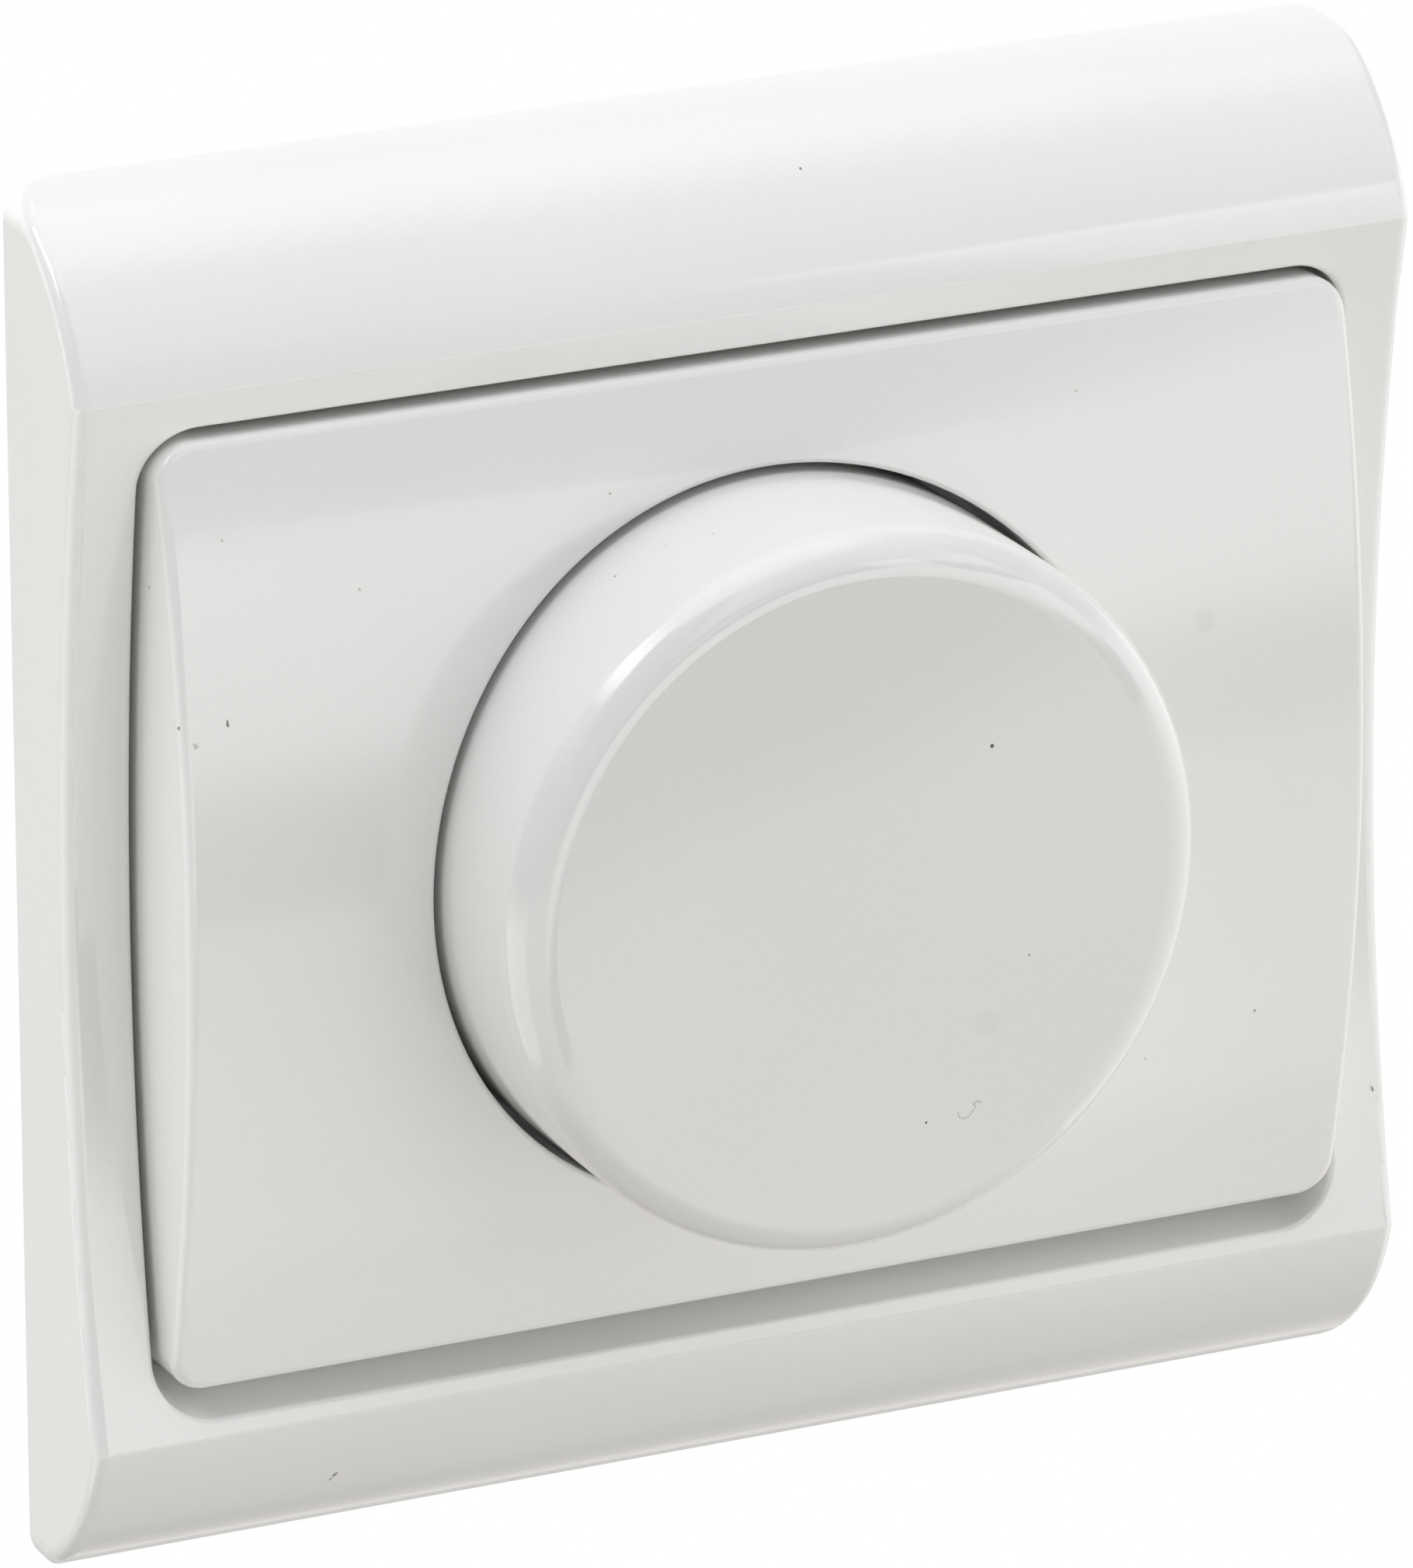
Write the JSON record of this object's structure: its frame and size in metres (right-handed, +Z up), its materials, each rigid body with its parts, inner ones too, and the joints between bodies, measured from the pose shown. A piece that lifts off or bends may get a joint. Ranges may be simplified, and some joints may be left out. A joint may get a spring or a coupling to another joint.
{
  "type": "rotary dimmer switch",
  "caption": "Square wall dimmer with a convex centre plate, a large round knob that turns and presses, and a box insert behind.",
  "frame": {"origin": "on the wall plane, on the knob's axis, midway between the two box screw slots", "axes": "X to the right as seen from the room, Y into the wall, Z up"},
  "size_m": [0.082, 0.0468, 0.082],
  "materials": {
    "white_plastic": "glossy moulded white",
    "housing_plastic": "fine grained black",
    "zinc_steel": "zinc plated",
    "spring_steel": "bare spring steel",
    "brass": "turned",
    "plated_brass": "tinned",
    "pot_plastic": "moulded",
    "phenolic": "laminate with a dark track",
    "switch_plastic": "moulded grey",
    "board_green": "solder mask",
    "heat_aluminium": "rolled",
    "component_black": "moulded",
    "ferrite": "pressed",
    "copper_wire": "enamelled wire",
    "film_yellow": "cast",
    "resistor_coat": "lacquered",
    "diode_blue": "lacquered",
    "fuse_ceramic": "fired tube with metal caps"
  },
  "bodies": {
    "base": {"cover_frame": "white_plastic", "centre_plate": "white_plastic", "bushing": "brass", "fixing_nut": "brass", "washer": "zinc_steel", "potentiometer_body": "pot_plastic", "track_disc": "phenolic", "switch_housing": "switch_plastic", "fixed_contacts": "plated_brass", "switch_spring": "spring_steel", "support_plate": "zinc_steel", "support_screws": "zinc_steel", "base_housing": "housing_plastic", "rear_cover": "housing_plastic", "cover_screws": "zinc_steel", "circuit_board": "board_green", "heat_sink": "heat_aluminium", "triac": "component_black", "triac_screw": "zinc_steel", "choke_core": "ferrite", "choke_winding": "copper_wire", "film_capacitor": "film_yellow", "timing_capacitor": "component_black", "resistors": "resistor_coat", "trigger_diode": "diode_blue", "fuse": "fuse_ceramic", "fuse_clips": "plated_brass", "contact_bar_left": "plated_brass", "contact_bar_middle": "plated_brass", "contact_bar_right": "plated_brass"},
    "press_carriage": {"switch_plunger": "switch_plastic", "moving_contact": "plated_brass"},
    "dial": {"knob": "white_plastic", "knob_clip": "spring_steel", "control_shaft": "brass", "retaining_ring": "zinc_steel"},
    "rotor": {"rotor": "pot_plastic", "wiper": "plated_brass"},
    "screw_left": {"terminal_screw_left": "zinc_steel"},
    "clamp_left": {"terminal_clamp_left": "plated_brass"},
    "screw_middle": {"terminal_screw_middle": "zinc_steel"},
    "clamp_middle": {"terminal_clamp_middle": "plated_brass"},
    "screw_right": {"terminal_screw_right": "zinc_steel"},
    "clamp_right": {"terminal_clamp_right": "plated_brass"}
  },
  "joints": [
    {"name": "press", "type": "slide", "parent": "base", "child": "press_carriage", "axis": [0, 1, 0], "range_m": [0, 0.0016], "stiffness_N_per_m": 1500, "springref_m": -0.002, "deforming": ["switch_spring"]},
    {"name": "dial_turn", "type": "hinge", "parent": "press_carriage", "child": "dial", "pos_m": [0, -0.015, 0], "axis": [0, 1, 0], "range_deg": [-140, 140]},
    {"name": "rotor_turn", "type": "hinge", "parent": "base", "child": "rotor", "pos_m": [0, 0.0034, 0], "axis": [0, 1, 0], "range_deg": [-140, 140]},
    {"name": "screw_left_turn", "type": "hinge", "parent": "base", "child": "screw_left", "pos_m": [-0.009, 0.0222, -0.0174], "axis": [0, -1, 0], "range_deg": [0, 2232]},
    {"name": "clamp_left_slide", "type": "slide", "parent": "base", "child": "clamp_left", "axis": [0, 1, 0], "range_m": [0, 0.0031]},
    {"name": "screw_middle_turn", "type": "hinge", "parent": "base", "child": "screw_middle", "pos_m": [0, 0.0222, -0.0174], "axis": [0, -1, 0], "range_deg": [0, 2232]},
    {"name": "clamp_middle_slide", "type": "slide", "parent": "base", "child": "clamp_middle", "axis": [0, 1, 0], "range_m": [0, 0.0031]},
    {"name": "screw_right_turn", "type": "hinge", "parent": "base", "child": "screw_right", "pos_m": [0.009, 0.0222, -0.0174], "axis": [0, -1, 0], "range_deg": [0, 2232]},
    {"name": "clamp_right_slide", "type": "slide", "parent": "base", "child": "clamp_right", "axis": [0, 1, 0], "range_m": [0, 0.0031]}
  ],
  "couplings": [
    {"joint": "rotor_turn", "follows": "dial_turn", "ratio": 1},
    {"joint": "screw_left_turn", "follows": "clamp_left_slide", "rad_per_m": 12566},
    {"joint": "screw_middle_turn", "follows": "clamp_middle_slide", "rad_per_m": 12566},
    {"joint": "screw_right_turn", "follows": "clamp_right_slide", "rad_per_m": 12566}
  ]
}
